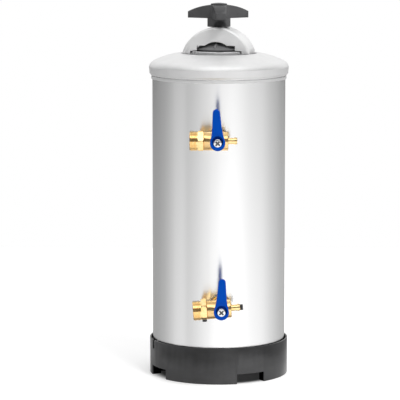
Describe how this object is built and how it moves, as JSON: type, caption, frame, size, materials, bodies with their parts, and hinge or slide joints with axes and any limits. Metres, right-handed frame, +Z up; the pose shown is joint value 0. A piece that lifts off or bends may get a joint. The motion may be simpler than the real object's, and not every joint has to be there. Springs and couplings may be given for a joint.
{
  "type": "water softener",
  "caption": "Free-standing manual water softener: brushed steel resin tank on a moulded base, with two three-way lever taps and a yoked, screw-down filling lid.",
  "frame": {"origin": "the tank's axis at floor level, in the face of the base's hub", "axes": "+Z up along the tank's axis, the taps face -Y, +X to the right seen from the taps"},
  "size_m": [0.188, 0.2437, 0.5021],
  "materials": {
    "black_plastic": "moulded, fine texture",
    "brushed_steel": "brushed round the cylinder",
    "mill_steel": "mill finish",
    "satin_steel": "bead-blasted satin",
    "turned_steel": "turned",
    "grey_plastic": "moulded, semi-matt",
    "blue_plastic": "moulded, semi-gloss",
    "brass": "turned and forged",
    "chrome": "polished",
    "white_polymer": "turned",
    "fibre": "pressed fibre",
    "rubber": "moulded",
    "filter_plastic": "moulded",
    "resin": "bed of fine beads"
  },
  "bodies": {
    "tank": {"base_skirt": "black_plastic", "tank_shell": "brushed_steel", "tank_bottom": "mill_steel", "tank_top": "mill_steel", "neck_ring": "turned_steel", "top_cover": "satin_steel", "trim_ring": "satin_steel", "resin_bed": "resin", "flow_insert": "rubber", "drain_plug": "black_plastic", "upper_socket": "mill_steel", "upper_strainer": "filter_plastic", "upper_body": "brass", "upper_union": "brass", "upper_seats": "white_polymer", "upper_barb": "brass", "upper_gland": "brass", "upper_packing": "white_polymer", "upper_lock_nut": "brass", "upper_washer": "fibre", "lower_socket": "mill_steel", "lower_strainer": "filter_plastic", "lower_body": "brass", "lower_union": "brass", "lower_seats": "white_polymer", "lower_barb": "brass", "lower_gland": "brass", "lower_packing": "white_polymer", "lower_lock_nut": "brass", "lower_washer": "fibre"},
    "upper_tap": {"upper_ball": "chrome", "upper_stem": "brass", "upper_lever": "blue_plastic", "upper_lever_screw": "chrome"},
    "lower_tap": {"lower_ball": "chrome", "lower_stem": "brass", "lower_lever": "blue_plastic", "lower_lever_screw": "chrome"},
    "yoke": {"yoke": "satin_steel", "yoke_bush": "brass"},
    "lid": {"lid": "grey_plastic", "lid_gasket": "rubber"},
    "pad": {"thrust_pad": "turned_steel"},
    "knob": {"spindle": "turned_steel", "knob": "grey_plastic", "knob_insert": "brass", "knob_cap": "grey_plastic"}
  },
  "joints": [
    {"name": "upper_lever_turn", "type": "hinge", "parent": "tank", "child": "upper_tap", "pos_m": [0, 0, 0.3283], "axis": [0.0105, 0.9999, 0], "range_deg": [-87.5, 92.5]},
    {"name": "lower_lever_turn", "type": "hinge", "parent": "tank", "child": "lower_tap", "pos_m": [0, 0, 0.1069], "axis": [-0.0244, 0.9997, 0], "range_deg": [-95.9, 84.1]},
    {"name": "yoke_slide", "type": "slide", "parent": "tank", "child": "yoke", "axis": [-0.1822, -0.9833, 0], "range_m": [0, 0.11]},
    {"name": "lid_slide", "type": "slide", "parent": "tank", "child": "lid", "axis": [0.1822, 0.9833, 0], "range_m": [0, 0.09]},
    {"name": "pad_lift", "type": "slide", "parent": "yoke", "child": "pad", "axis": [0, 0, 1], "range_m": [0, 0.006]},
    {"name": "knob_turn", "type": "hinge", "parent": "pad", "child": "knob", "pos_m": [0, 0, 0.47], "axis": [0, 0, 1], "range_deg": [0, 1080]}
  ],
  "couplings": [
    {"joint": "pad_lift", "follows": "knob_turn", "m_per_rad": 0.0003183}
  ]
}
